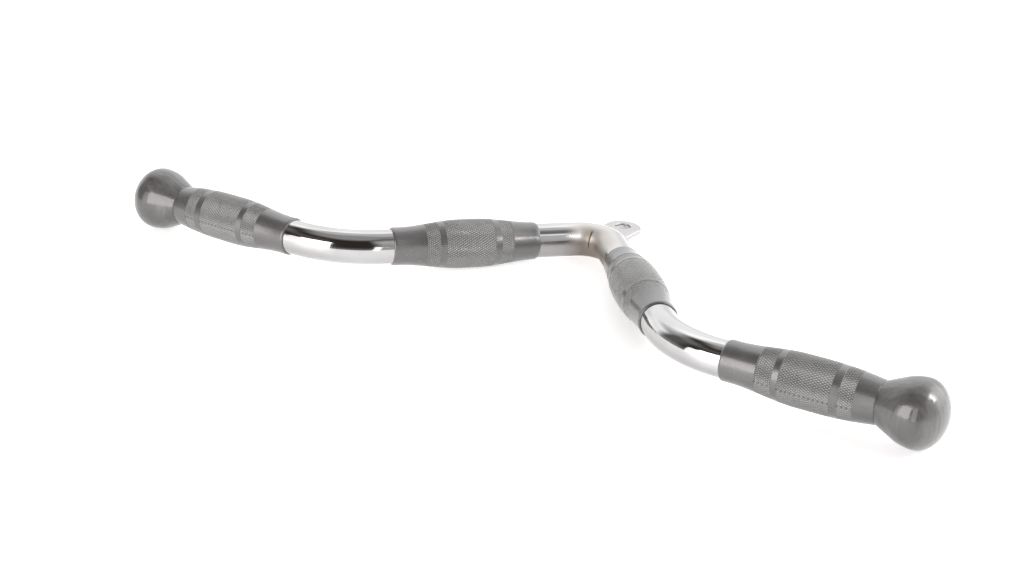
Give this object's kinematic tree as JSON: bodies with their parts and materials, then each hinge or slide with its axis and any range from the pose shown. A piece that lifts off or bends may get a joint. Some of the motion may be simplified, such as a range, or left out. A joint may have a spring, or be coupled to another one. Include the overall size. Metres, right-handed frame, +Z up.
{
  "type": "multi-exercise cable bar attachment",
  "caption": "Bent chromed steel pulldown bar with a welded eye lug at its apex, shaped rubber grips with knurled bands, and rubber ball end knobs.",
  "frame": {"origin": "under the middle of the part's box, on the surface that it lies on", "axes": "+X along the bar from the left knob to the right one, +Y from the knobs towards the eye lug, +Z up; the bar's plane is tipped 3.7 degrees about X, lug end down, as the bar lies on its knobs and inner grips"},
  "size_m": [0.7106, 0.2424, 0.0509],
  "materials": {
    "chrome_bar": "bright chrome plate on a bent solid steel bar",
    "chrome_lug": "bright chrome plate on a steel lug and its ground weld",
    "grip_rubber": "moulded satin grey rubber with diamond-knurled bands",
    "knob_rubber": "smooth moulded grey rubber, a little glossier than the grips",
    "plated_steel": "zinc-plated machined steel, hidden inside the knobs"
  },
  "bodies": {
    "root": {"bent_bar": "chrome_bar", "eye_lug": "chrome_lug", "upper_weld_bead": "chrome_lug", "lower_weld_bead": "chrome_lug", "inner_left_grip": "grip_rubber", "inner_right_grip": "grip_rubber", "outer_left_grip": "grip_rubber", "outer_right_grip": "grip_rubber", "left_end_knob": "knob_rubber", "right_end_knob": "knob_rubber", "left_knob_insert": "plated_steel", "right_knob_insert": "plated_steel", "left_knob_stud": "plated_steel", "right_knob_stud": "plated_steel"}
  },
  "joints": []
}
